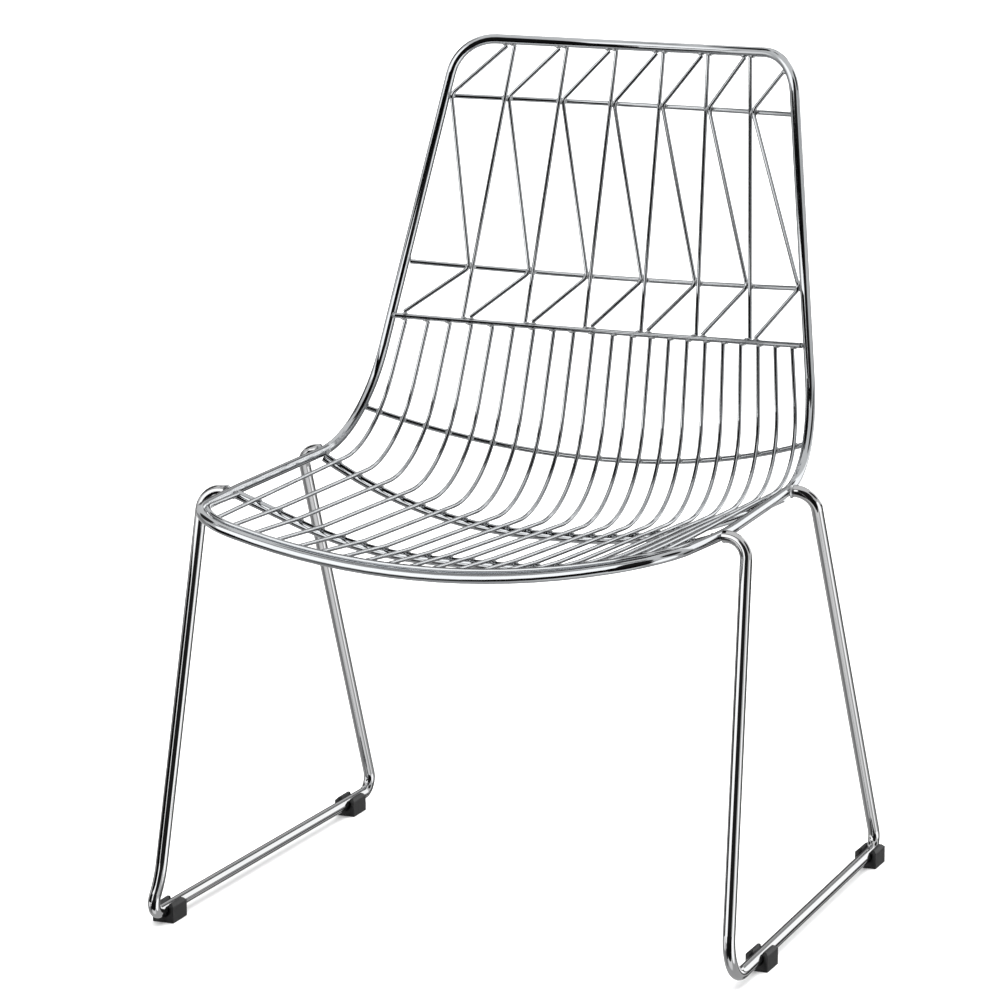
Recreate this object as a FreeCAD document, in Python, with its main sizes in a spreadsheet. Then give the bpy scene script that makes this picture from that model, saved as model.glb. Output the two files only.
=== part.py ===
# Wire mesh chair: bent steel rod frame on two sled legs with clip-on feet
import FreeCAD
import Part
import math
import os

doc = FreeCAD.newDocument("wire_mesh_chair")
Vector = FreeCAD.Vector

# Driving sizes in millimetres and degrees
# X is across the chair, Y runs from the front edge to the back, Z is up from the floor
sheet = doc.addObject("Spreadsheet::Sheet", "dims")
SIZES = [
    ("leg_rod", 12.0, "sled leg rod diameter"),
    ("rim_rod", 10.0, "outer rim rod diameter"),
    ("bar_rod", 9.5, "seat bar rod diameter"),
    ("low_rod", 5.5, "lower back rail and back bend wire diameter"),
    ("rail_rod", 5.0, "upper and middle back rail diameter"),
    ("net_rod", 4.2, "seat wire, upright and zigzag wire diameter"),
    ("edge_rod", 4.5, "front edge wire diameter"),
    ("weld_gap", 0.02, "clearance left at every welded touch"),
    ("side_gap", 0.25, "clearance between a zigzag bend and the upright beside it"),
    ("edge_wire_gap", 0.08, "clearance between the front edge wire and the rim"),
    ("rim_top_y", 284.4, "top rim, middle"),
    ("rim_top_z", 801.5, "top rim, middle"),
    ("rim_top_turn", 24.0, "half angle of the top rim bow"),
    ("corner_top_x", 176.7, "top corner of the rim before rounding"),
    ("corner_top_y", 238.1, "top corner of the rim before rounding"),
    ("corner_top_z", 807.7, "top corner of the rim before rounding"),
    ("corner_top_bend", 45.0, "top corner bend radius"),
    ("corner_low_x", 241.0, "rim corner between back and seat"),
    ("corner_low_y", 134.8, "rim corner between back and seat"),
    ("corner_low_z", 414.4, "rim corner between back and seat"),
    ("corner_low_bend", 120.0, "bend radius between back and seat"),
    ("side_lift_x", 248.6, "point where the rim side starts to rise"),
    ("side_lift_y", -139.4, "point where the rim side starts to rise"),
    ("side_lift_z", 412.4, "point where the rim side starts to rise"),
    ("side_lift_bend", 400.0, "bend radius where the rim side starts to rise"),
    ("corner_front_x", 238.0, "front corner of the rim before rounding"),
    ("corner_front_y", -274.4, "front corner of the rim before rounding"),
    ("corner_front_z", 414.9, "front corner of the rim before rounding"),
    ("corner_front_bend", 61.0, "front corner bend radius"),
    ("rim_front_y", -287.2, "front rim, middle"),
    ("rim_front_z", 382.4, "front rim, middle"),
    ("rim_front_turn", 13.6, "half angle of the front rim sag"),
    ("edge_wire_turn", 20.0, "front edge wire at the middle, angle inward from straight above the rim"),
    ("edge_wire_side_turn", 100.0, "front edge wire at the sides, angle inward from straight above the rim"),
    ("edge_wire_end_y", -158.2, "end of the front edge wire along the rim side"),
    ("low_rail_y", 211.6, "lower back rail, middle"),
    ("low_rail_z", 522.6, "lower back rail, middle"),
    ("low_rail_bow", 476.0, "lower back rail bow radius"),
    ("low_rail_tilt", 12.1, "lower back rail bow plane above level"),
    ("mid_rail_y", 230.1, "middle back rail, middle"),
    ("mid_rail_z", 574.4, "middle back rail, middle"),
    ("mid_rail_bow", 477.0, "middle back rail bow radius"),
    ("mid_rail_tilt", 13.4, "middle back rail bow plane above level"),
    ("up_rail_y", 274.9, "upper back rail, middle"),
    ("up_rail_z", 743.4, "upper back rail, middle"),
    ("up_rail_bow", 362.0, "upper back rail bow radius"),
    ("up_rail_tilt", 7.1, "upper back rail bow plane above level"),
    ("bend_wire_y", 176.6, "back bend cross wire, middle"),
    ("bend_wire_z", 400.1, "back bend cross wire, middle"),
    ("bend_wire_bow", 466.0, "back bend cross wire bow radius"),
    ("bend_wire_tilt", 43.0, "back bend cross wire bow plane above level"),
    ("rear_bar_y", 43.4, "rear seat bar, middle"),
    ("rear_bar_z", 349.2, "rear seat bar, middle"),
    ("rear_bar_flat", 20.0, "half length of the straight middle of the rear bar"),
    ("rear_bar_bow", 440.0, "rear seat bar bend radius"),
    ("rear_bar_turn", 28.0, "angle of each bend of the rear seat bar"),
    ("rear_bar_tilt", 90.0, "rear seat bar bow plane above level"),
    ("front_bar_y", -152.4, "front seat bar, middle"),
    ("front_bar_z", 363.7, "front seat bar, middle"),
    ("front_bar_flat", 40.0, "half length of the straight middle of the front bar"),
    ("front_bar_bow", 420.0, "front seat bar bend radius"),
    ("front_bar_turn", 19.5, "angle of each bend of the front seat bar"),
    ("front_bar_tilt", 90.0, "front seat bar bow plane above level"),
    ("wire_step_top", 20.5, "seat wire spacing at the lower back rail"),
    ("wire_step_bend", 22.6, "seat wire spacing at the back bend"),
    ("wire_step_bar", 21.93, "seat wire spacing at the front seat bar"),
    ("wire_step_rim", 21.93, "seat wire spacing at the front rim"),
    ("wire_lean", 16.0, "seat wire lean from upright below the lower back rail"),
    ("wire_front_bend", 300.0, "seat wire bend radius over the front seat bar"),
    ("wire_end_rise", 1.0, "height of a seat wire end above the rim centre line"),
    ("post_in_low", 30.2, "inner upright from the middle, at the lower rail"),
    ("post_in_top", 25.0, "inner upright from the middle, at the top rim"),
    ("post_mid_low", 91.8, "second upright from the middle, at the lower rail"),
    ("post_mid_top", 75.1, "second upright from the middle, at the top rim"),
    ("post_out_low", 153.5, "outer upright from the middle, at the lower rail"),
    ("post_out_top", 125.1, "outer upright from the middle, at the top rim"),
    ("zigzag_bend", 8.0, "zigzag wire bend radius"),
    ("zigzag_top", 1.5, "zigzag wire top end, from the upright on its right"),
    ("zigzag_foot", 3.0, "zigzag wire foot, from the upright on its left"),
    ("zigzag_foot_side", 8.5, "first zigzag wire foot, from the rim side"),
    ("zigzag_rise", 2.0, "upper zigzag bend above the upper rail"),
    ("zigzag_last_share", 0.57, "last zigzag wire top end, share of the top corner bend"),
    ("leg_front_top_x", 275.6, "front leg, upper corner before rounding"),
    ("leg_front_top_y", -158.3, "front leg, upper corner before rounding"),
    ("leg_rear_top_x", 269.2, "rear leg, upper corner before rounding"),
    ("leg_rear_top_y", 50.3, "rear leg, upper corner before rounding"),
    ("leg_top_z", 413.8, "leg stub centre height"),
    ("leg_front_low_x", 290.9, "front leg, lower corner before rounding"),
    ("leg_front_low_y", -243.0, "front leg, lower corner before rounding"),
    ("leg_rear_low_x", 277.7, "rear leg, lower corner before rounding"),
    ("leg_rear_low_y", 236.8, "rear leg, lower corner before rounding"),
    ("runner_z", 12.3, "runner centre height above the floor"),
    ("leg_top_bend", 20.0, "leg upper bend radius"),
    ("leg_rear_bend", 14.5, "leg lower bend radius at the rear"),
    ("left_front_bend", 12.0, "left leg lower bend radius at the front"),
    ("right_front_bend", 38.0, "right leg lower bend radius at the front"),
    ("left_toe_rise", 34.0, "left leg, start of the forward toe above the runner"),
    ("left_toe_reach", 15.0, "left leg, forward reach of the toe"),
    ("left_toe_bend", 80.0, "left leg bend radius at the start of the toe"),
    ("foot_width", 22.0, "foot width across the runner"),
    ("foot_length", 29.5, "foot length along the runner"),
    ("foot_height", 18.5, "foot height"),
    ("foot_chamfer", 2.6, "bevel on the upper outer edges of a foot"),
    ("foot_clearance", 0.05, "clearance between runner and foot channel"),
    ("foot_left_front_y", -215.2, "left front foot, centre"),
    ("foot_right_front_y", -138.8, "right front foot, centre"),
    ("foot_left_rear_y", 183.6, "left rear foot, centre"),
    ("foot_right_rear_y", 213.8, "right rear foot, centre"),
]
for row, (alias, value, note) in enumerate(SIZES, 1):
    sheet.set("A%d" % row, note)
    sheet.set("B%d" % row, str(value))
    sheet.setAlias("B%d" % row, alias)
doc.recompute()


def size(alias):
    return float(getattr(sheet, alias))


def half(alias):
    return size(alias) / 2.0


GAP = size("weld_gap")
ACROSS = Vector(1, 0, 0)

# Search steps: halvings of a range, and passes that bring touching rods to their clearance
STEPS = 34
SETTLE = 30
WIRE_ROUNDS = 3
WIRE_SETTLE = 8


# Geometry helpers
def unit(v):
    return Vector(v).normalize()


def line(a, b):
    return Part.makeLine(a, b)


def arc(a, m, b):
    return Part.Arc(a, m, b).toShape()


def bent(points, radii):
    """Straight runs through the points, joined by tangent arcs."""
    edges = []
    start = points[0]
    for i, radius in enumerate(radii, 1):
        corner = points[i]
        a = unit(points[i - 1] - corner)
        b = unit(points[i + 1] - corner)
        open_half = math.acos(a.dot(b)) / 2.0
        run = radius / math.tan(open_half)
        first = corner + a * run
        last = corner + b * run
        middle = corner + unit(a + b) * (radius / math.sin(open_half) - radius)
        edges.append(line(start, first))
        edges.append(arc(first, middle, last))
        start = last
    edges.append(line(start, points[-1]))
    return edges


def mirrored(v):
    return Vector(-v.x, v.y, v.z)


def flip(edge):
    return edge.mirror(Vector(0, 0, 0), ACROSS)


def disc(point, direction, radius):
    ring = Part.makeCircle(radius, point, direction)
    return Part.Face(Part.Wire(ring))


def along(edge, share):
    """Point on an edge at a share of its length."""
    return edge.valueAt(edge.FirstParameter + (edge.LastParameter - edge.FirstParameter) * share)


def distance(a, b):
    return a.distToShape(b)[0]


def bisect(f, low, high):
    """Value between low and high where f changes sign."""
    f_low = f(low)
    for _ in range(STEPS):
        middle = (low + high) / 2.0
        if (f(middle) > 0) == (f_low > 0):
            low = middle
        else:
            high = middle
    return low


def trimmed(start, aim, radius, axis, axis_radius):
    """End of a straight rod from start toward aim, where its flat end meets the rod on axis.

    A rod that clears the other one runs on to the aim.
    """
    direction = unit(aim - start)
    nearest = line(start, aim).distToShape(axis)[1][0][0]
    reach = (nearest - start).Length

    def clear(t):
        return distance(disc(start + direction * t, direction, radius), axis) - axis_radius - GAP

    if clear(reach) > 0:
        return aim
    return start + direction * bisect(clear, 0.0, reach)


class Bow:
    """Arc symmetric about the middle plane, bowed forward and up in a tilted plane."""

    def __init__(self, y, z, tilt, radius):
        self.y = y
        self.z = z
        self.radius = radius
        self.lift = Vector(0, -math.cos(math.radians(tilt)), math.sin(math.radians(tilt)))

    def at(self, angle):
        centre = Vector(0, self.y, self.z)
        rise = self.radius * (1.0 - math.cos(angle))
        return centre + ACROSS * (self.radius * math.sin(angle)) + self.lift * rise

    def at_x(self, x):
        return self.at(math.asin(x / self.radius))

    def tangent(self, angle):
        return ACROSS * math.cos(angle) + self.lift * math.sin(angle)

    def edge(self, low, high):
        return arc(self.at(low), self.at((low + high) / 2.0), self.at(high))


def bow_to_corner(y, z, turn, corner):
    """Bow from the middle point whose end tangent runs straight into the corner."""
    angle = math.radians(turn)
    deep = math.hypot(corner.y - y, corner.z - z)
    tilt = math.degrees(math.atan2(corner.z - z, y - corner.y))
    radius = (corner.x * math.sin(angle) - deep * math.cos(angle)) / (1.0 - math.cos(angle))
    return Bow(y, z, tilt, radius)


def bow_end(bow, radius, axis, axis_radius):
    """Angle at which a bowed rod meets the rod on axis."""
    nearest = bow.edge(0.0, math.pi / 3.0).distToShape(axis)[1][0][0]

    def clear(angle):
        end = disc(bow.at(angle), bow.tangent(angle), radius)
        return distance(end, axis) - axis_radius - GAP

    return bisect(clear, 0.0, math.asin(nearest.x / bow.radius))


# Document objects
NODES = []
LENGTHS = {}


def swept(name, edges, rod):
    """Round rod along the edges, its diameter bound to the sheet."""
    path = doc.addObject("Part::Feature", name + "_path")
    path.Shape = Part.Wire(edges)
    ring = doc.addObject("Part::Circle", name + "_section")
    ring.setExpression("Radius", "dims.%s / 2" % rod)
    first = edges[0]
    turn = FreeCAD.Rotation(Vector(0, 0, 1), first.tangentAt(first.FirstParameter))
    ring.Placement = FreeCAD.Placement(first.valueAt(first.FirstParameter), turn)
    body = doc.addObject("Part::Sweep", name)
    body.Sections = [ring]
    body.Spine = (path, ["Edge%d" % (i + 1) for i in range(len(edges))])
    body.Solid = True
    body.Frenet = False
    LENGTHS[name] = (sum(e.Length for e in edges), rod)
    return body


def keep(node, name):
    node.Label = name
    NODES.append(node)


def mirror_of(source, name):
    other = doc.addObject("Part::Mirroring", name)
    other.Source = source
    other.Normal = ACROSS
    other.Base = Vector(0, 0, 0)
    return other


def joined(name, left, right):
    both = doc.addObject("Part::Fuse", name)
    both.Base = left
    both.Tool = right
    both.Refine = True
    return both


def straight(name, start, end, rod):
    """Straight round wire between two points."""
    body = doc.addObject("Part::Cylinder", name)
    body.setExpression("Radius", "dims.%s / 2" % rod)
    body.Height = (end - start).Length
    body.Placement = FreeCAD.Placement(start, FreeCAD.Rotation(Vector(0, 0, 1), end - start))
    LENGTHS[name] = ((end - start).Length, rod)
    return body


# Outer rim: one closed rod round the back and the seat
corner_top = Vector(size("corner_top_x"), size("corner_top_y"), size("corner_top_z"))
corner_low = Vector(size("corner_low_x"), size("corner_low_y"), size("corner_low_z"))
side_lift = Vector(size("side_lift_x"), size("side_lift_y"), size("side_lift_z"))
corner_front = Vector(size("corner_front_x"), size("corner_front_y"), size("corner_front_z"))
top_bow = bow_to_corner(size("rim_top_y"), size("rim_top_z"), size("rim_top_turn"), corner_top)
front_bow = bow_to_corner(size("rim_front_y"), size("rim_front_z"), size("rim_front_turn"), corner_front)
top_turn = math.radians(size("rim_top_turn"))
front_turn = math.radians(size("rim_front_turn"))
rim_points = [top_bow.at(top_turn), corner_top, corner_low, side_lift, corner_front, front_bow.at(front_turn)]
rim_bends = [size(corner + "_bend") for corner in ("corner_top", "corner_low", "side_lift", "corner_front")]
rim_edges = [top_bow.edge(0.0, top_turn)] + bent(rim_points, rim_bends)
rim_edges.append(front_bow.edge(front_turn, 0.0))
top_corner = rim_edges[2]
rim_axis = Part.Compound(rim_edges)
rim_axis_left = Part.Compound([flip(e) for e in rim_edges])
RIM = half("rim_rod")
right_rim = swept("rim_right_half", rim_edges, "rim_rod")
left_rim = mirror_of(right_rim, "rim_left_half")
keep(joined("rim", left_rim, right_rim), "rim_frame")

# Bowed rails across the back and the wire below the back bend
BOWED = [
    ("upper_back_rail", "up_rail", "rail_rod"),
    ("middle_back_rail", "mid_rail", "rail_rod"),
    ("lower_back_rail", "low_rail", "low_rod"),
    ("back_bend_cross_wire", "bend_wire", "low_rod"),
]
bows = {}
bow_axes = {}
for name, key, rod in BOWED:
    bow = Bow(size(key + "_y"), size(key + "_z"), size(key + "_tilt"), size(key + "_bow"))
    end = bow_end(bow, half(rod), rim_axis, RIM)
    edge = bow.edge(-end, end)
    bows[name] = bow
    bow_axes[name] = edge
    keep(swept(name + "_rod", [edge], rod), name)


# Seat bars: straight middle, a bend each side and straight ends to the rim
class BentBar:
    """Seat bar centre line in a tilted plane, given on the right side and mirrored to the left."""

    def __init__(self, key):
        self.bow = Bow(size(key + "_y"), size(key + "_z"), size(key + "_tilt"), size(key + "_bow"))
        self.turn = math.radians(size(key + "_turn"))
        self.flat = size(key + "_flat")
        self.bend_start = self.bow.at(0.0) + ACROSS * self.flat
        self.bend_middle = self.bow.at(self.turn / 2.0) + ACROSS * self.flat
        self.bend_end = self.bow.at(self.turn) + ACROSS * self.flat
        self.tail = trimmed(self.bend_end, self.at_x(side_lift.x), half("bar_rod"), rim_axis, RIM)
        left = [line(mirrored(self.tail), mirrored(self.bend_end))]
        left.append(arc(mirrored(self.bend_end), mirrored(self.bend_middle), mirrored(self.bend_start)))
        right = [arc(self.bend_start, self.bend_middle, self.bend_end)]
        right.append(line(self.bend_end, self.tail))
        self.edges = left + [line(mirrored(self.bend_start), self.bend_start)] + right
        self.axis = Part.Compound(self.edges)

    def at_x(self, x):
        if x <= self.flat:
            return self.bow.at(0.0) + ACROSS * x
        if x < self.bend_end.x:
            return self.bow.at_x(x - self.flat) + ACROSS * self.flat
        return self.bend_end + self.bow.tangent(self.turn) * ((x - self.bend_end.x) / math.cos(self.turn))


rear_bar = BentBar("rear_bar")
front_bar = BentBar("front_bar")
keep(swept("rear_seat_bar_rod", rear_bar.edges, "bar_rod"), "rear_seat_bar")
keep(swept("front_seat_bar_rod", front_bar.edges, "bar_rod"), "front_seat_bar")


# Front edge wire: on the rim, round both front corners
def edge_offset(turn):
    """Distance of the edge wire inward and above the rim centre line."""
    reach = RIM + half("edge_rod") + size("edge_wire_gap")
    return reach * math.sin(turn), reach * math.cos(turn)


def edge_wire_path():
    front_way = math.radians(size("edge_wire_turn"))
    side_way = math.radians(size("edge_wire_side_turn"))
    front_in, front_up = edge_offset(front_way)
    side_in, side_up = edge_offset(side_way)
    corner_in, corner_up = edge_offset((front_way + side_way) / 2.0)
    corner = corner_front + Vector(-side_in, corner_in, corner_up)
    middle_y = size("rim_front_y") + front_in
    middle_z = size("rim_front_z") + front_up
    room = (corner_front - front_bow.at(front_turn)).Length - corner_in

    def spare(turn):
        bow = bow_to_corner(middle_y, middle_z, turn, corner)
        return (corner - bow.at(math.radians(turn))).Length - room

    turn = bisect(spare, size("rim_front_turn") / 2.0, size("rim_front_turn") * 1.5)
    bow = bow_to_corner(middle_y, middle_z, turn, corner)
    turn = math.radians(turn)
    share = (size("edge_wire_end_y") - corner_front.y) / (side_lift.y - corner_front.y)
    end = corner_front + (side_lift - corner_front) * share + Vector(-side_in, 0, side_up)
    right = bent([bow.at(turn), corner, end], [size("corner_front_bend") - corner_in])
    left = [flip(e) for e in reversed(right)]
    turned = []
    for e in left:
        first = e.valueAt(e.LastParameter)
        last = e.valueAt(e.FirstParameter)
        if e.Curve.TypeId == "Part::GeomLine":
            turned.append(line(first, last))
        else:
            turned.append(arc(first, along(e, 0.5), last))
    return turned + [bow.edge(-turn, turn)] + right


edge_edges = edge_wire_path()
edge_axis = Part.Compound(edge_edges)
keep(swept("front_edge_wire_rod", edge_edges, "edge_rod"), "front_edge_wire")

# Uprights: in front of the upper and middle rails, from the lower rail to the top rim
NET = half("net_rod")
RAIL_TOUCH = half("rail_rod") + NET + GAP
LOW = half("low_rod")
low_bow = bows["lower_back_rail"]
mid_bow = bows["middle_back_rail"]
up_bow = bows["upper_back_rail"]
low_axis = bow_axes["lower_back_rail"]
mid_axis = bow_axes["middle_back_rail"]
up_axis = bow_axes["upper_back_rail"]


def post_line(low_x, top_x):
    """Points at the lower rail and at the top rim of an upright that touches both rails."""
    low_point = low_bow.at_x(low_x)
    top_point = top_bow.at_x(top_x)

    def x_at(z):
        return low_x + (top_x - low_x) * (z - low_point.z) / (top_point.z - low_point.z)

    mid_z = mid_bow.at_x(low_x).z
    up_z = up_bow.at_x(top_x).z
    mid_point = Vector(x_at(mid_z), mid_bow.at_x(low_x).y - RAIL_TOUCH, mid_z)
    up_point = Vector(x_at(up_z), up_bow.at_x(top_x).y - RAIL_TOUCH, up_z)
    for _ in range(SETTLE):
        slope = (up_point - mid_point) * (1.0 / (up_z - mid_z))
        start = mid_point + slope * (low_point.z - mid_z)
        end = mid_point + slope * (top_point.z - mid_z)
        axis = line(start, end)
        mid_point.y -= RAIL_TOUCH - distance(axis, mid_axis)
        up_point.y -= RAIL_TOUCH - distance(axis, up_axis)
    return start, end


posts = []
for side, key in ((-1, "out"), (-1, "mid"), (-1, "in"), (1, "in"), (1, "mid"), (1, "out")):
    start, end = post_line(size("post_%s_low" % key), size("post_%s_top" % key))
    middle = (start + end) * 0.5
    foot = trimmed(middle, start, NET, low_axis, LOW)
    head = trimmed(middle, end, NET, rim_axis, RIM)
    if side < 0:
        start = mirrored(start)
        end = mirrored(end)
        foot = mirrored(foot)
        head = mirrored(head)
    posts.append((start, end))
    name = "back_upright_%d" % len(posts)
    keep(straight(name + "_rod", foot, head, "net_rod"), name)

# Zigzag wires: one in each bay of the back, in front of the rails
rim_left_side = (mirrored(corner_low), mirrored(corner_top))
rim_right_side = (corner_low, corner_top)
bays = [rim_left_side] + posts + [rim_right_side]


def x_on(post, z):
    share = (z - post[0].z) / (post[1].z - post[0].z)
    return post[0].x + (post[1].x - post[0].x) * share


def zigzag(index):
    left = bays[index]
    right = bays[index + 1]
    first = index == 0
    last = index == len(bays) - 2
    left_touch = RIM + NET + GAP if first else 2.0 * NET + size("side_gap")
    right_touch = RIM + NET + GAP if last else 2.0 * NET + size("side_gap")
    left_axis = line(*left)
    right_axis = line(*right)
    foot_off = size("zigzag_foot_side") if first else size("zigzag_foot")
    foot_x = x_on(left, low_bow.at_x(x_on(left, size("low_rail_z"))).z) + foot_off
    foot = low_bow.at_x(foot_x)
    if last:
        head = along(top_corner, size("zigzag_last_share"))
    else:
        head = top_bow.at_x(right[1].x - size("zigzag_top"))
    up_z = up_bow.at_x(x_on(left, size("up_rail_z"))).z + size("zigzag_rise")
    mid_z = mid_bow.at_x(x_on(right, size("mid_rail_z"))).z
    up_x = x_on(left, up_z) + left_touch
    mid_x = x_on(right, mid_z) - right_touch
    up = Vector(up_x, up_bow.at_x(up_x).y - RAIL_TOUCH, up_z)
    mid = Vector(mid_x, mid_bow.at_x(mid_x).y - RAIL_TOUCH, mid_z)
    radius = size("zigzag_bend")
    for _ in range(SETTLE):
        edges = bent([head, up, mid, foot], [radius, radius])
        path = Part.Compound(edges)
        up.y -= RAIL_TOUCH - distance(path, up_axis)
        mid.y -= RAIL_TOUCH - distance(path, mid_axis)
        up.x += left_touch - distance(edges[1], left_axis)
        mid.x -= right_touch - distance(edges[3], right_axis)
    head_end = trimmed((up + head) * 0.5, head, NET, rim_axis_left if head.x < 0 else rim_axis, RIM)
    foot_end = trimmed((mid + foot) * 0.5, foot, NET, low_axis, LOW)
    return bent([head_end, up, mid, foot_end], [radius, radius])


for i in range(len(bays) - 1):
    name = "back_zigzag_wire_%d" % (i + 1)
    keep(swept(name + "_rod", zigzag(i), "net_rod"), name)

# Seat wires: down from the lower rail, round the back bend, over both bars to the front rim
BAR_TOUCH = half("bar_rod") + NET + GAP
BEND_TOUCH = LOW + NET + GAP
bend_axis = bow_axes["back_bend_cross_wire"]


def rim_point(x):
    """Point of the front of the rim centre line at x, on the right side."""
    middle = front_bow.at(0.0)
    upright = line(Vector(x, middle.y, middle.z), Vector(x, corner_front.y, corner_front.z))
    return rim_axis.distToShape(upright)[1][0][0]


def seat_wire(index):
    top = low_bow.at_x(index * size("wire_step_top"))
    lean = math.tan(math.radians(size("wire_lean")))
    rear = rear_bar.at_x(index * size("wire_step_bend")) + Vector(0, 0, BAR_TOUCH)
    front = front_bar.at_x(index * size("wire_step_bar")) + Vector(0, 0, BAR_TOUCH)
    end = rim_point(index * size("wire_step_rim")) + Vector(0, 0, size("wire_end_rise"))
    rim_radius = size("corner_low_bend")
    radius = rim_radius
    front_radius = size("wire_front_bend")

    def points():
        slope = (front.z - rear.z) / (front.y - rear.y)
        drop = (top.z - rear.z - slope * (top.y - rear.y)) / (1.0 - slope * lean)
        low = Vector(index * size("wire_step_bend"), top.y - lean * drop, top.z - drop)
        return [top, low, front, end]

    for _ in range(WIRE_ROUNDS):
        for _ in range(WIRE_SETTLE):
            path = Part.Compound(bent(points(), [radius, front_radius]))
            rear.z += BAR_TOUCH - distance(path, rear_bar.axis)
            front.z += BAR_TOUCH - distance(path, front_bar.axis)

        def bend_clear(r):
            path = Part.Compound(bent(points(), [r, front_radius]))
            return distance(path, bend_axis) - BEND_TOUCH

        radius = bisect(bend_clear, rim_radius / 2.0, rim_radius * 1.5)
    top, low, front, end = points()
    top_end = trimmed(low, top, NET, low_axis, LOW)
    at_rim = trimmed(front, end, NET, rim_axis, RIM)
    front_end = trimmed(front, at_rim, NET, edge_axis, half("edge_rod"))
    return bent([top_end, low, front, front_end], [radius, front_radius]), radius


WIRES = 21
MIDDLE_WIRE = 11
wire_bodies = {}
for k in range(MIDDLE_WIRE):
    edges, radius = seat_wire(k)
    print("seat wire", k, "bend radius %.1f" % radius, "seat start z %.1f" % edges[2].valueAt(0).z)
    right_name = "seat_wire_%02d" % (MIDDLE_WIRE + k)
    wire_bodies[right_name] = swept(right_name + "_rod", edges, "net_rod")
    if k:
        left_name = "seat_wire_%02d" % (MIDDLE_WIRE - k)
        wire_bodies[left_name] = mirror_of(wire_bodies[right_name], left_name + "_rod")
for name in sorted(wire_bodies):
    keep(wire_bodies[name], name)


# Sled legs: stub at the rim, front leg, runner on the floor and rear leg in one rod
LEG = half("leg_rod")


def sled_leg(name, side, front_bend, toe_reach):
    front_top = Vector(size("leg_front_top_x"), size("leg_front_top_y"), size("leg_top_z"))
    front_low = Vector(size("leg_front_low_x"), size("leg_front_low_y"), size("runner_z"))
    rear_low = Vector(size("leg_rear_low_x"), size("leg_rear_low_y"), size("runner_z"))
    rear_top = Vector(size("leg_rear_top_x"), size("leg_rear_top_y"), size("leg_top_z"))
    front_aim = Vector(0, front_top.y, front_top.z)
    rear_aim = Vector(0, rear_top.y, rear_top.z)
    front_end = trimmed(front_top, front_aim, LEG, rim_axis, RIM)
    rear_end = trimmed(rear_top, rear_aim, LEG, rim_axis, RIM)
    points = [front_end, front_top, front_low, rear_low, rear_top, rear_end]
    bends = [size("leg_top_bend"), size(front_bend), size("leg_rear_bend"), size("leg_top_bend")]
    if toe_reach > 0:
        share = size("left_toe_rise") / (front_top.z - front_low.z)
        points[2] = front_low + (front_low - rear_low).normalize() * toe_reach
        points.insert(2, front_low + (front_top - front_low) * share)
        bends.insert(1, size("left_toe_bend"))
    if side < 0:
        points = [mirrored(p) for p in points]
    keep(swept(name + "_rod", bent(points, bends), "leg_rod"), name)
    return front_low, rear_low


sled_leg("left_sled_leg", -1, "left_front_bend", size("left_toe_reach"))
runner_front, runner_rear = sled_leg("right_sled_leg", 1, "right_front_bend", 0.0)


# Feet: plastic saddles with an open channel, clipped under the runners
FEET = [
    ("left_front_foot", -1, "foot_left_front_y"),
    ("right_front_foot", 1, "foot_right_front_y"),
    ("left_rear_foot", -1, "foot_left_rear_y"),
    ("right_rear_foot", 1, "foot_right_rear_y"),
]
for name, side, centre_alias in FEET:
    block = doc.addObject("Part::Box", name + "_block")
    block.setExpression("Length", "dims.foot_width")
    block.setExpression("Width", "dims.foot_length")
    block.setExpression("Height", "dims.foot_height")
    block.Placement.Base = Vector(-half("foot_width"), -half("foot_length"), 0)
    channel = doc.addObject("Part::Cylinder", name + "_channel")
    channel.setExpression("Radius", "dims.leg_rod / 2 + dims.foot_clearance")
    channel.setExpression("Height", "dims.foot_length * 2")
    channel.Placement = FreeCAD.Placement(Vector(0, size("foot_length"), size("runner_z")),
                                          FreeCAD.Rotation(ACROSS, 90))
    slot = doc.addObject("Part::Box", name + "_slot")
    slot.setExpression("Length", "dims.leg_rod + 2 * dims.foot_clearance")
    slot.setExpression("Width", "dims.foot_length * 2")
    slot.setExpression("Height", "dims.foot_height")
    slot.Placement.Base = Vector(-LEG - size("foot_clearance"), -size("foot_length"), size("runner_z"))
    hollow = doc.addObject("Part::Fuse", name + "_hollow")
    hollow.Base = channel
    hollow.Tool = slot
    bevel = doc.addObject("Part::Chamfer", name + "_bevelled")
    bevel.Base = block
    doc.recompute()
    marked = []
    for i, e in enumerate(block.Shape.Edges, 1):
        middle = e.CenterOfMass
        if abs(middle.z - size("foot_height")) < 0.01 and abs(middle.y) < 0.01:
            marked.append((i, size("foot_chamfer"), size("foot_chamfer")))
    bevel.Edges = marked
    saddle = doc.addObject("Part::Cut", name + "_saddle")
    saddle.Base = bevel
    saddle.Tool = hollow
    y = size(centre_alias)
    share = (y - runner_front.y) / (runner_rear.y - runner_front.y)
    centre_x = runner_front.x + (runner_rear.x - runner_front.x) * share
    swing = math.degrees(math.atan2(runner_front.x - runner_rear.x, runner_rear.y - runner_front.y))
    saddle.Placement = FreeCAD.Placement(Vector(side * centre_x, y, 0),
                                         FreeCAD.Rotation(Vector(0, 0, 1), side * swing))
    keep(saddle, name)

doc.recompute()

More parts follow.
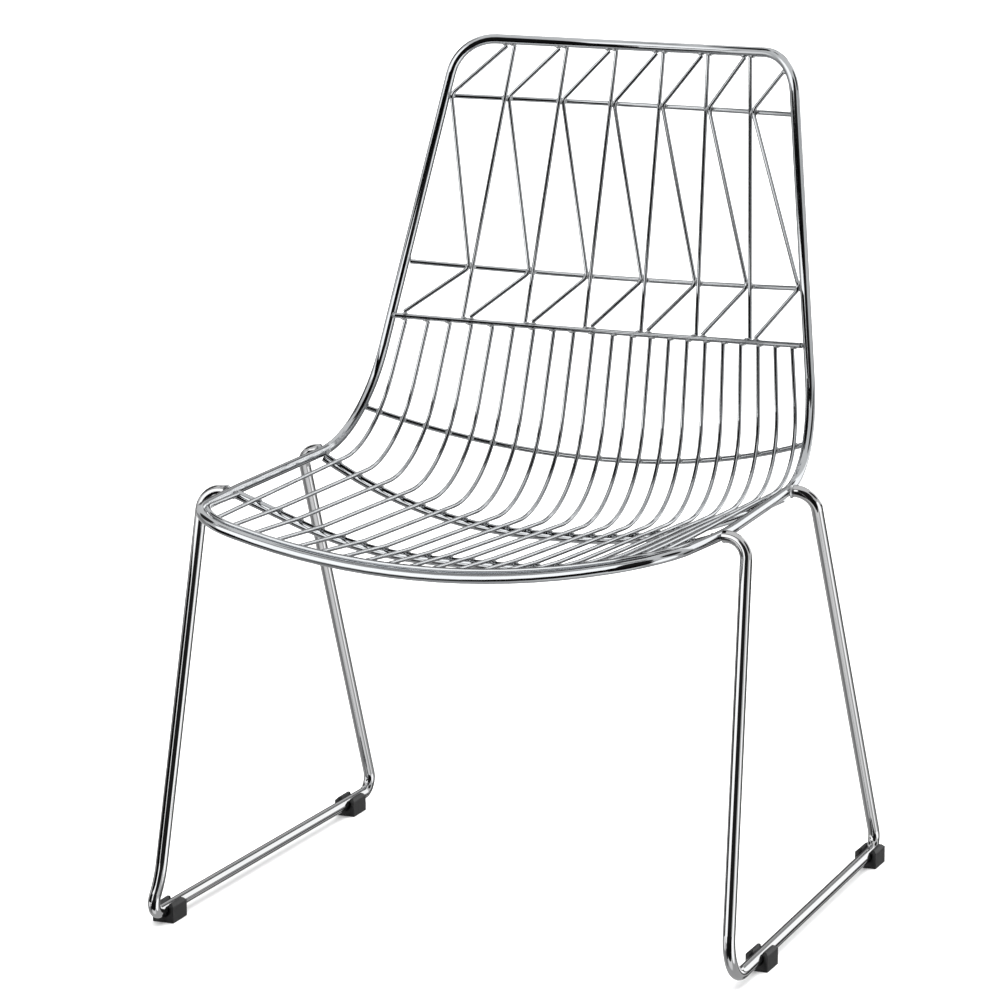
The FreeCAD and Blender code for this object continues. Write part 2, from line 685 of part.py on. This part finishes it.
# Check every object, then write the nodes
for item in doc.Objects:
    if "Invalid" in item.State or "Error" in item.State:
        raise RuntimeError("object not built: " + item.Name)
os.makedirs("parts", exist_ok=True)
for node in NODES:
    shape = node.Shape
    if shape.isNull() or not shape.isValid() or len(shape.Solids) != 1:
        raise RuntimeError("bad solid: " + node.Label)
    shape.exportStep("parts/%s.step" % node.Label)
for item in doc.Objects:
    if item.Name in LENGTHS:
        length, rod = LENGTHS[item.Name]
        expected = math.pi * half(rod) ** 2 * length
        if abs(item.Shape.Volume / expected - 1.0) > 0.005:
            raise RuntimeError("swept volume off: " + item.Name)
box = Part.Compound([n.Shape for n in NODES]).BoundBox
print("nodes", len(NODES))
print("box x %.1f %.1f" % (box.XMin, box.XMax))
print("box y %.1f %.1f" % (box.YMin, box.YMax))
print("box z %.1f %.1f" % (box.ZMin, box.ZMax))
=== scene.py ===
"""A wire mesh chair of polished chrome rod on two sled legs with clip-on plastic feet."""

import math

import bpy
import numpy as np
from mathutils import Matrix, Vector
from mathutils.bvhtree import BVHTree


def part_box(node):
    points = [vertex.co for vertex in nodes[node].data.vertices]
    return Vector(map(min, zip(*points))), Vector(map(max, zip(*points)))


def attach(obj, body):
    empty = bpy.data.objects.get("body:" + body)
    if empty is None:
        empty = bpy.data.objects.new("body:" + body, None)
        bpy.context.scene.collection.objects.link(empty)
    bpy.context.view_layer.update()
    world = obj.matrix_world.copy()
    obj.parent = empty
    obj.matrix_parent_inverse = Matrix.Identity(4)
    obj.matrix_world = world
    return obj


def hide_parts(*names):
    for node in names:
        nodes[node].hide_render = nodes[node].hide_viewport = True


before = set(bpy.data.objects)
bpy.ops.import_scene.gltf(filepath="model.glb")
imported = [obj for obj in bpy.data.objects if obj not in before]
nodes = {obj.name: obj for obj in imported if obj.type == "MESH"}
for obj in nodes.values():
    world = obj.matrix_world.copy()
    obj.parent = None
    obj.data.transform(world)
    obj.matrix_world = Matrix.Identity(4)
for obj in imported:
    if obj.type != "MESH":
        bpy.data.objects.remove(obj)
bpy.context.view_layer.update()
MM = 0.001


# ---------------------------------------------------------------- finishes

def colour(hex_value):
    """The linear colour of an sRGB hex value such as '#dfe2e4'."""
    parts = [int(hex_value[i:i + 2], 16) / 255 for i in (1, 3, 5)]
    return [c / 12.92 if c <= 0.04045 else ((c + 0.055) / 1.055) ** 2.4 for c in parts] + [1.0]


def per_mm(size):
    """The scale of a pattern on Object coordinates whose marks are this many millimetres wide."""
    return 1 / (size * MM)


def add(tree, kind, settings=None, **links):
    """Adds a node, sets its properties and sockets, and links other nodes' outputs to its inputs."""
    node = tree.nodes.new(kind)
    for name, value in (settings or {}).items():
        if name in node.inputs.keys():
            node.inputs[name].default_value = value
        else:
            setattr(node, name, value)
    for name, source in links.items():
        spot = int(name[1:]) if name[0] == "i" and name[1:].isdigit() else name.replace("_", " ")
        tree.links.new(source, node.inputs[spot])
    return node


def finish_of(name):
    """A new material with its shader, and its tree."""
    material = bpy.data.materials.new(name)
    material.use_nodes = True
    tree = material.node_tree
    return material, tree, tree.nodes["Principled BSDF"]


def chrome(name, pale, deep, smooth, dull, wave_mm, wave_height_mm, wipe_mm):
    """Bright nickel-chrome plate over drawn steel: a mirror that bends a little along the rod."""
    material, tree, shader = finish_of(name)
    place = add(tree, "ShaderNodeTexCoord").outputs["Object"]
    # The plate's tone drifts over a hand's width, where it is a little thicker or thinner.
    drift = add(tree, "ShaderNodeTexNoise", {"Scale": per_mm(60), "Detail": 2.0}, Vector=place)
    tone = add(tree, "ShaderNodeMix", {"data_type": "RGBA"}, i0=drift.outputs["Fac"])
    tone.inputs[6].default_value = colour(pale)
    tone.inputs[7].default_value = colour(deep)
    # Wiping leaves faint duller patches between clear ones.
    wipe = add(tree, "ShaderNodeTexNoise", {"Scale": per_mm(wipe_mm), "Detail": 4.0, "Roughness": 0.6},
               Vector=place)
    gloss = add(tree, "ShaderNodeMapRange", {"From Min": 0.35, "From Max": 0.75, "To Min": smooth,
                                             "To Max": dull}, Value=wipe.outputs["Fac"])
    # Polishing by hand leaves soft waves, so the dark lines wander along the rod.
    wave = add(tree, "ShaderNodeTexNoise", {"Scale": per_mm(wave_mm), "Detail": 1.0}, Vector=place)
    relief = add(tree, "ShaderNodeBump", {"Strength": 1.0, "Distance": wave_height_mm * MM},
                 Height=wave.outputs["Fac"])
    shader.inputs["Metallic"].default_value = 1.0
    tree.links.new(tone.outputs[2], shader.inputs["Base Color"])
    tree.links.new(gloss.outputs["Result"], shader.inputs["Roughness"])
    tree.links.new(relief.outputs["Normal"], shader.inputs["Normal"])
    return material


def moulded_polyamide(name):
    """Black nylon from a spark-eroded mould: deep charcoal, dull, with a fine even grain."""
    material, tree, shader = finish_of(name)
    place = add(tree, "ShaderNodeTexCoord").outputs["Object"]
    # The real grain is 0.1 mm; it is drawn 0.6 mm wide so that it shows.
    grain = add(tree, "ShaderNodeTexNoise", {"Scale": per_mm(0.6), "Detail": 3.0}, Vector=place)
    # Handling and dust lift the black in soft patches.
    dust = add(tree, "ShaderNodeTexNoise", {"Scale": per_mm(9), "Detail": 3.0}, Vector=place)
    tone = add(tree, "ShaderNodeMix", {"data_type": "RGBA"}, i0=dust.outputs["Fac"])
    tone.inputs[6].default_value = colour("#0e0e0f")
    tone.inputs[7].default_value = colour("#191a1b")
    rough = add(tree, "ShaderNodeMapRange", {"To Min": 0.42, "To Max": 0.6}, Value=grain.outputs["Fac"])
    relief = add(tree, "ShaderNodeBump", {"Strength": 0.7, "Distance": 0.12 * MM},
                 Height=grain.outputs["Fac"])
    shader.inputs["IOR"].default_value = 1.53
    tree.links.new(tone.outputs[2], shader.inputs["Base Color"])
    tree.links.new(rough.outputs["Result"], shader.inputs["Roughness"])
    tree.links.new(relief.outputs["Normal"], shader.inputs["Normal"])
    return material


def plated_weld(name):
    """Chrome over a fused bead: still bright, with the bead's own small ripples and a duller skin."""
    material, tree, shader = finish_of(name)
    place = add(tree, "ShaderNodeTexCoord").outputs["Object"]
    ripple = add(tree, "ShaderNodeTexNoise", {"Scale": per_mm(1.4), "Detail": 2.0}, Vector=place)
    gloss = add(tree, "ShaderNodeMapRange", {"To Min": 0.22, "To Max": 0.40}, Value=ripple.outputs["Fac"])
    relief = add(tree, "ShaderNodeBump", {"Strength": 0.8, "Distance": 0.15 * MM},
                 Height=ripple.outputs["Fac"])
    shader.inputs["Metallic"].default_value = 1.0
    shader.inputs["Base Color"].default_value = colour("#d6d8d9")
    tree.links.new(gloss.outputs["Result"], shader.inputs["Roughness"])
    tree.links.new(relief.outputs["Normal"], shader.inputs["Normal"])
    return material


frame_plate = chrome("polished_chrome_frame_rod", "#d0d2d4", "#c6c9cc", 0.05, 0.11, 26, 0.012, 35)
leg_plate = chrome("polished_chrome_leg_rod", "#d3d3d3", "#c9cacc", 0.04, 0.10, 34, 0.014, 45)
wire_plate = chrome("polished_chrome_net_wire", "#cfd1d3", "#c3c6c9", 0.07, 0.15, 18, 0.008, 25)
weld_plate = plated_weld("chrome_over_weld")
foot_plastic = moulded_polyamide("moulded_black_polyamide")

FRAME_RODS = ("rim_frame", "rear_seat_bar", "front_seat_bar")
for name, node in nodes.items():
    if name.endswith("_foot"):
        finish = foot_plastic
    elif name.endswith("_sled_leg"):
        finish = leg_plate
    elif name in FRAME_RODS:
        finish = frame_plate
    else:
        finish = wire_plate
    node.data.materials.clear()
    node.data.materials.append(finish)


# ---------------------------------------------------------------- modelling helpers

def begin(adding, **settings):
    """Adds one primitive with nothing else selected, and gives it back."""
    bpy.ops.object.select_all(action="DESELECT")
    adding(**settings)
    return bpy.context.object


def pick(piece, test):
    """In edit mode, selects the faces of the piece whose middle and normal pass the test."""
    bpy.ops.object.mode_set(mode="OBJECT")
    for part in (piece.data.vertices, piece.data.edges):
        part.foreach_set("select", [False] * len(part))
    for face in piece.data.polygons:
        face.select = bool(test(face.center, face.normal))
    bpy.ops.object.mode_set(mode="EDIT")
    bpy.ops.mesh.select_mode(type="FACE")


def cut(piece, tool):
    """Takes the tool's shape out of the piece."""
    modifier = piece.modifiers.new("cut", "BOOLEAN")
    modifier.operation = "DIFFERENCE"
    modifier.solver = "EXACT"
    modifier.object = tool
    bpy.ops.object.select_all(action="DESELECT")
    piece.select_set(True)
    bpy.context.view_layer.objects.active = piece
    bpy.ops.object.modifier_apply(modifier="cut")
    bpy.data.objects.remove(tool, do_unlink=True)


def copied(piece, name, place):
    """A copy of the piece with its own mesh, put in place in its mesh."""
    twin = bpy.data.objects.new(name, piece.data.copy())
    twin.data.transform(place)
    bpy.context.scene.collection.objects.link(twin)
    return twin


def joined(pieces, name):
    """One piece of many, riding on the chair with its slot's finish."""
    bpy.ops.object.select_all(action="DESELECT")
    for piece in pieces:
        piece.select_set(True)
    bpy.context.view_layer.objects.active = pieces[0]
    bpy.ops.object.join()
    whole = pieces[0]
    whole.name = name
    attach(whole, "root")
    return whole


# ---------------------------------------------------------------- welds

LEG_ROD, RIM_ROD, BAR_ROD = 12.0 * MM, 10.0 * MM, 9.5 * MM
LOW_ROD, RAIL_ROD, NET_ROD, EDGE_ROD = 5.5 * MM, 5.0 * MM, 4.2 * MM, 4.5 * MM
ROD_OF = {"rim_frame": RIM_ROD, "front_edge_wire": EDGE_ROD, "front_seat_bar": BAR_ROD,
          "rear_seat_bar": BAR_ROD, "upper_back_rail": RAIL_ROD, "middle_back_rail": RAIL_ROD,
          "lower_back_rail": LOW_ROD, "back_bend_cross_wire": LOW_ROD}
MARK_PITCH = 0.7 * MM      # between the points at which a wire is looked at
WELD_REACH = 0.7 * MM      # rods nearer than this to each other are welded
BOX_ROOM = 2 * MM          # round a rod's box, inside which a wire's points are looked at
FLASH_WIDE, FLASH_THICK = 0.86, 0.36       # a bead's half width and half thickness, by the wire
COLLAR_WIDE, COLLAR_THICK = 0.545, 0.15    # a collar's, by the rod that ends there

skins = {}
wire_marks = {}


def rod_of(name):
    """The diameter of the node's rod."""
    return LEG_ROD if name.endswith("_leg") else ROD_OF.get(name, NET_ROD)


def skin(name):
    """The node's surface, for finding the nearest point on it."""
    mesh = nodes[name].data
    return BVHTree.FromPolygons([v.co for v in mesh.vertices], [f.vertices for f in mesh.polygons])


def marks(name):
    """Points down the node's edges, a pitch apart, and the edge's run at each."""
    mesh = nodes[name].data
    spots = np.array([v.co for v in mesh.vertices])
    ends = np.array([e.vertices for e in mesh.edges])
    starts, runs = spots[ends[:, 0]], spots[ends[:, 1]] - spots[ends[:, 0]]
    steps = np.maximum(1, (np.linalg.norm(runs, axis=1) / MARK_PITCH).astype(int))
    which = np.repeat(np.arange(len(steps)), steps)
    share = np.concatenate([np.arange(n) / n for n in steps])
    return starts[which] + runs[which] * share[:, None], runs[which]


def touches(wire, rod):
    """Where the wire touches the rod: place, wire direction and the way out of the rod."""
    low, high = (np.array(v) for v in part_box(rod))
    if wire not in wire_marks:
        wire_marks[wire] = marks(wire)
    points, runs = wire_marks[wire]
    close = np.all((points > low - BOX_ROOM) & (points < high + BOX_ROOM), axis=1)
    if rod not in skins:
        skins[rod] = skin(rod)
    near = []
    for point, run in zip(points[close], runs[close]):
        spot, out, _, gap = skins[rod].find_nearest(Vector(point), WELD_REACH)
        if spot is not None:
            near.append((gap, spot, Vector(run), out))
    near.sort(key=lambda n: n[0])
    found = []
    for _, spot, _, out in near:
        if all((spot - other[0]).length > 3 * rod_of(wire) for other in found):
            along = [n[2] for n in near if (n[1] - spot).length < 2 * rod_of(wire)]
            found.append((spot, max(along, key=lambda v: v.length).normalized(), out))
    return found


def bead(name, sides, rings, scallop):
    """A round lump of fused metal, one metre in radius, with a scalloped rim."""
    lump = begin(bpy.ops.mesh.primitive_uv_sphere_add, segments=sides, ring_count=rings, radius=1.0)
    lump.name = name
    for vertex in lump.data.vertices:
        turn = round(math.degrees(math.atan2(vertex.co.y, vertex.co.x)) / (360 / sides))
        vertex.select = turn % 2 == 0 and abs(vertex.co.z) < 0.8
    for part in (lump.data.edges, lump.data.polygons):
        part.foreach_set("select", [False] * len(part))
    bpy.ops.object.mode_set(mode="EDIT")
    bpy.ops.transform.resize(value=(scallop, scallop, 1.06))
    bpy.ops.mesh.select_all(action="SELECT")
    bpy.ops.mesh.vertices_smooth(factor=0.3)
    bpy.ops.object.mode_set(mode="OBJECT")
    bpy.ops.object.shade_smooth()
    lump.data.materials.append(weld_plate)
    return lump


def weld(pattern, name, touch, across, thick):
    """One bead laid at a touch, its width across the wire and its thickness out of the rod."""
    spot, along, out = touch
    side = out.cross(along).normalized()
    along = side.cross(out).normalized()
    size = Matrix((along * across, side * across, out * thick)).transposed().to_4x4()
    return copied(pattern, name, Matrix.Translation(spot) @ size)


flash = bead("flash_pattern", 10, 5, 1.10)
collar = bead("collar_pattern", 24, 8, 1.07)
ZIGZAGS = [n for n in nodes if n.startswith("back_zigzag_wire")]
UPRIGHTS = [n for n in nodes if n.startswith("back_upright")]
SEAT_WIRES = [n for n in nodes if n.startswith("seat_wire")]
RAILS = ["upper_back_rail", "middle_back_rail", "lower_back_rail"]
WELDED = {
    "welds_seat_net": (SEAT_WIRES, ["front_seat_bar", "rear_seat_bar", "back_bend_cross_wire"]),
    "welds_rim": (SEAT_WIRES + ZIGZAGS + UPRIGHTS, ["rim_frame"]),
    "welds_back_net": (ZIGZAGS + UPRIGHTS + SEAT_WIRES, RAILS),
    "welds_zigzags": (ZIGZAGS, UPRIGHTS),
}
for group, (wires, rods) in WELDED.items():
    laid = [weld(flash, "bead", touch, FLASH_WIDE * rod_of(wire), FLASH_THICK * rod_of(wire))
            for wire in wires for rod in rods for touch in touches(wire, rod)]
    joined(laid, group)
ENDS_ON_RIM = ["left_sled_leg", "right_sled_leg", "front_seat_bar", "rear_seat_bar",
               "back_bend_cross_wire"] + RAILS
laid = [weld(collar, "bead", touch, COLLAR_WIDE * rod_of(rod), COLLAR_THICK * rod_of(rod))
        for rod in ENDS_ON_RIM for touch in touches(rod, "rim_frame")]
joined(laid, "weld_collars")
for pattern in (flash, collar):
    bpy.data.objects.remove(pattern, do_unlink=True)


# ---------------------------------------------------------------- feet

FOOT = Vector((22.0, 29.5, 18.5)) * MM        # width, length along the runner, height
RUNNER_RISE = 12.3 * MM                       # the runner's middle over the floor
CHANNEL = LEG_ROD / 2 + 0.05 * MM             # the channel's radius, a close fit round the runner
TOP_BEVEL = 2.6 * MM
SOLE_LIP, TRAY_SLOPE, TRAY_DEEP = 2.4 * MM, 0.4 * MM, 0.9 * MM
JAW_GRIP = 1.0 * MM                           # how much narrower the mouth is than the runner
MOUTH_RISE, MOUTH_HIGH = 6 * MM, 8 * MM
FUNNEL_WIDER, FUNNEL_NARROWER, FUNNEL_DEEP = 2.0 * MM, 0.5 * MM, 3.2 * MM
FUNNEL_INSET = 0.9 * MM                       # from the foot's end to the funnel's middle
NOTCH_FIRST, NOTCH_PITCH, NOTCH_LONG = 1.5 * MM, 3.0 * MM, 1.5 * MM
NOTCH_WIDER, NOTCH_DROP, NOTCH_HIGH = 1.4 * MM, 1.1 * MM, 3.0 * MM
EDGE_ROUND = 0.35 * MM
CREASE = math.radians(35)


def saddle_foot():
    """A clip-on foot: a bevelled block with a round channel, a lead-in and teeth at each end of it."""
    block = begin(bpy.ops.mesh.primitive_cube_add, size=1.0, location=(0, 0, FOOT.z / 2), scale=FOOT)
    bpy.ops.object.transform_apply(location=True, rotation=False, scale=True)
    block.name = "foot_pattern"
    # The two long top corners are bevelled wide.
    mesh = block.data
    for part in (mesh.vertices, mesh.edges, mesh.polygons):
        part.foreach_set("select", [False] * len(part))
    for edge in mesh.edges:
        a, b = (mesh.vertices[i].co for i in edge.vertices)
        edge.select = a.z > FOOT.z * 0.9 and b.z > FOOT.z * 0.9 and abs(a.x - b.x) < MM
    bpy.ops.object.mode_set(mode="EDIT")
    bpy.ops.mesh.select_mode(type="EDGE")
    bpy.ops.mesh.bevel(offset=TOP_BEVEL, segments=1)
    # The sole is hollowed by a shallow tray with a lip all round.
    pick(block, lambda c, n: n.z < -0.9)
    bpy.ops.mesh.inset(thickness=SOLE_LIP)
    bpy.ops.mesh.inset(thickness=TRAY_SLOPE, depth=-TRAY_DEEP)
    bpy.ops.object.mode_set(mode="OBJECT")
    channel = begin(bpy.ops.mesh.primitive_cylinder_add, vertices=48, radius=CHANNEL, depth=FOOT.y * 2,
                    location=(0, 0, RUNNER_RISE), rotation=(math.pi / 2, 0, 0))
    cut(block, channel)
    mouth = begin(bpy.ops.mesh.primitive_cube_add, size=1.0, location=(0, 0, RUNNER_RISE + MOUTH_RISE),
                  scale=(2 * CHANNEL - JAW_GRIP, FOOT.y * 2, MOUTH_HIGH))
    cut(block, mouth)
    for end in (-1, 1):
        # Each end of the channel opens like a funnel, then two steps are cut in the jaws' inner edges.
        funnel = begin(bpy.ops.mesh.primitive_cone_add, vertices=48, radius1=CHANNEL + FUNNEL_WIDER,
                       radius2=CHANNEL - FUNNEL_NARROWER, depth=FUNNEL_DEEP,
                       location=(0, end * (FOOT.y / 2 - FUNNEL_INSET), RUNNER_RISE),
                       rotation=(end * math.pi / 2, 0, 0))
        cut(block, funnel)
        for step in (0, 1):
            along = end * (FOOT.y / 2 - NOTCH_FIRST - step * NOTCH_PITCH)
            notch = begin(bpy.ops.mesh.primitive_cube_add, size=1.0,
                          location=(0, along, FOOT.z - NOTCH_DROP),
                          scale=(2 * CHANNEL + NOTCH_WIDER, NOTCH_LONG, NOTCH_HIGH))
            cut(block, notch)
    round_off = block.modifiers.new("round_off", "BEVEL")
    round_off.width = EDGE_ROUND
    round_off.segments = 2
    round_off.limit_method = "ANGLE"
    round_off.angle_limit = CREASE
    bpy.context.view_layer.objects.active = block
    block.select_set(True)
    bpy.ops.object.modifier_apply(modifier="round_off")
    bpy.ops.object.shade_smooth_by_angle(angle=CREASE)
    block.data.materials.append(foot_plastic)
    return block


pattern = saddle_foot()
for name in [n for n in nodes if n.endswith("_foot")]:
    low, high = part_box(name)
    middle = ((low.x + high.x) / 2, (low.y + high.y) / 2, 0)
    foot = copied(pattern, "moulded_" + name, Matrix.Translation(middle))
    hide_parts(name)
    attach(foot, "root")
bpy.data.objects.remove(pattern, do_unlink=True)


# ---------------------------------------------------------------- studio

def plain(name, hex_value, roughness):
    """A painted board's even matt finish."""
    material, tree, shader = finish_of(name)
    shader.inputs["Base Color"].default_value = colour(hex_value)
    shader.inputs["Roughness"].default_value = roughness
    shader.inputs["Specular IOR Level"].default_value = 0.0
    return material


def board(name, middle, across, up, material):
    """A flat board in the studio that only the chrome sees, given by its middle and its two half sides."""
    bpy.ops.object.select_all(action="DESELECT")
    bpy.ops.mesh.primitive_plane_add(size=2)
    piece = bpy.context.object
    piece.name = name
    across, up = Vector(across), Vector(up)
    normal = across.cross(up).normalized()
    piece.data.transform(Matrix((across, up, normal)).transposed().to_4x4())
    piece.data.transform(Matrix.Translation(middle))
    piece.data.materials.append(material)
    piece.visible_camera = False
    piece.visible_diffuse = False
    piece.visible_shadow = False
    return piece


FLOOR_RADIUS = 30.0
FLOOR_DROP = 0.2 * MM      # keeps the soles clear of the floor
bpy.ops.object.select_all(action="DESELECT")
bpy.ops.mesh.primitive_circle_add(vertices=96, radius=FLOOR_RADIUS, fill_type="NGON",
                                  location=(0, 0, -FLOOR_DROP))
floor = bpy.context.object
floor.name = "floor"
floor.data.materials.append(plain("white_sweep", "#f6f6f6", 0.9))
floor.visible_glossy = False

CAMERA_TURN, CAMERA_RISE = 22.52, 12.51    # degrees, as in toward()
CAMERA_DISTANCE = 4.488
AIM = Vector((0.0, -0.079, 0.408))
LENS = 170.03                              # millimetres, on a 36 mm sensor
SHIFT = (-0.0015, 0.0023)


def toward(turn, rise):
    """The direction that lies this many degrees round from the chair's front, to its right, and up."""
    a, e = math.radians(turn), math.radians(rise)
    return Vector((math.sin(a) * math.cos(e), -math.cos(a) * math.cos(e), math.sin(e)))


# The room that the chrome mirrors: pale with lit windows, and dark round the camera. Each patch is
# given by turn, rise, inner and outer half width in degrees, and level.
world = bpy.data.worlds.new("studio")
bpy.context.scene.world = world
world.use_nodes = True
sky = world.node_tree
sky.nodes.clear()
ray = add(sky, "ShaderNodeTexCoord").outputs["Generated"]
rise_of = add(sky, "ShaderNodeSeparateXYZ", Vector=ray).outputs["Z"]


def patch(below, turn, rise, inner, outer, level):
    """Lays a round soft-edged patch of one brightness over what is there, by its half widths in degrees."""
    facing = add(sky, "ShaderNodeVectorMath", {"operation": "DOT_PRODUCT"}, i0=ray)
    facing.inputs[1].default_value = toward(turn, rise)
    mask = add(sky, "ShaderNodeMapRange", {"interpolation_type": "SMOOTHSTEP",
                                           "From Min": math.cos(math.radians(outer)),
                                           "From Max": math.cos(math.radians(inner))},
               Value=facing.outputs["Value"])
    mix = add(sky, "ShaderNodeMix", {"data_type": "FLOAT"}, i0=mask.outputs["Result"], i2=below)
    mix.inputs[3].default_value = level
    return mix.outputs[0]


def band(below, low, high, soft, level):
    """Lays a level band over what is there, from one rise in degrees to another."""
    low, high, soft = (math.sin(math.radians(v)) for v in (low, high, soft))
    up = add(sky, "ShaderNodeMapRange", {"interpolation_type": "SMOOTHSTEP", "From Min": low - soft,
                                         "From Max": low + soft}, Value=rise_of)
    down = add(sky, "ShaderNodeMapRange", {"interpolation_type": "SMOOTHSTEP", "From Min": high + soft,
                                           "From Max": high - soft}, Value=rise_of)
    mask = add(sky, "ShaderNodeMath", {"operation": "MULTIPLY"}, i0=up.outputs["Result"],
               i1=down.outputs["Result"])
    mix = add(sky, "ShaderNodeMix", {"data_type": "FLOAT"}, i0=mask.outputs[0], i2=below)
    mix.inputs[3].default_value = level
    return mix.outputs[0]


# The room is grey at the floor and white overhead.
base = add(sky, "ShaderNodeMapRange", {"interpolation_type": "SMOOTHSTEP", "From Min": -0.6,
                                       "From Max": 0.8, "To Min": 0.58, "To Max": 1.0}, Value=rise_of)
level = base.outputs["Result"]
level = patch(level, 22, -58, 16, 30, 1.15)            # lit floor before the chair
level = patch(level, -62, -42, 14, 26, 0.32)           # its grey left part
level = patch(level, 172, 13, 27, 31, 1.85)            # white sweep behind the chair
level = patch(level, 204, 6, 10, 14, 0.14)             # its dark left side
level = patch(level, 157, -14, 6, 9, 0.06)             # shade under its right side
level = patch(level, -90, 66, 5, 8, 0.05)              # lamp housing overhead
level = patch(level, 188, 25, 10, 14, 0.50)            # its grey top
level = patch(level, 176, 33, 5, 8, 0.10)              # gap over it
level = band(level, -7, -1, 1, 0.14)                   # shade where floor and sweep meet
level = patch(level, 174, -29, 6, 10, 0.10)            # shade on the floor under the seat
level = patch(level, 88, -20, 21, 25, 1.95)            # window of light low on the right
level = patch(level, 134, -12, 10, 13, 0.06)           # gap behind it
level = patch(level, -60, -12, 13, 17, 1.35)           # strip of light low on the left
level = patch(level, -104, -6, 16, 22, 0.40)           # grey behind it
level = patch(level, 102, 36, 17, 22, 0.03)            # dark room high on the right
level = patch(level, -102, 36, 17, 22, 0.03)           # and high on the left
level = patch(level, -27, 20, 29, 33, 2.0)             # tall window of light at the left front
level = patch(level, -24, -36, 12, 15, 0.02)           # floor's dark edge under it
level = patch(level, CAMERA_TURN, -22, 32, 35, 0.008)        # dark room under the camera
level = patch(level, CAMERA_TURN - 13, -15, 28, 31, 0.008)  # and to the left
level = patch(level, CAMERA_TURN + 13, -15, 28, 31, 0.008)  # and to the right
level = patch(level, CAMERA_TURN + 6, 20, 28, 32, 0.02)      # and over it
seen = add(sky, "ShaderNodeLightPath").outputs["Is Camera Ray"]
backdrop = add(sky, "ShaderNodeMix", {"data_type": "FLOAT"}, i0=seen, i2=level)
backdrop.inputs[3].default_value = 1.0
shine = add(sky, "ShaderNodeBackground", Strength=backdrop.outputs[0])
add(sky, "ShaderNodeOutputWorld", Surface=shine.outputs[0])

lamp = bpy.data.lights.new("overhead_softbox", "SUN")
lamp.angle = math.radians(100)
lamp.energy = 5.2
overhead = bpy.data.objects.new("overhead_softbox", lamp)
overhead.rotation_euler = (math.radians(-12), math.radians(14), 0.0)
overhead.visible_glossy = False
bpy.context.scene.collection.objects.link(overhead)

black_card = plain("black_card", "#050505", 1.0)
board("back_flag", (-0.35, -0.50, 0.96), (0.85, 0.0, 0.0), (0.0, 0.0, 0.11), black_card)
board("left_flag", (-0.64, -0.55, 0.20), (0.17, -0.19, 0.0), (0.0, 0.0, 0.22), black_card)
board("seat_flag", (0.0, -0.05, 0.60), (0.20, 0.0, 0.0), (0.0, 0.17, 0.0), black_card)

lens = bpy.data.cameras.new("camera")
lens.sensor_width = 36.0
lens.lens = LENS
lens.shift_x, lens.shift_y = SHIFT
lens.clip_start, lens.clip_end = 0.1, 200.0
camera = bpy.data.objects.new("camera", lens)
bpy.context.scene.collection.objects.link(camera)
back = toward(CAMERA_TURN, CAMERA_RISE)
camera.location = AIM + back * CAMERA_DISTANCE
camera.rotation_mode = "QUATERNION"
camera.rotation_quaternion = (-back).to_track_quat("-Z", "Y")
bpy.context.scene.camera = camera
bpy.context.scene.view_settings.view_transform = "Standard"
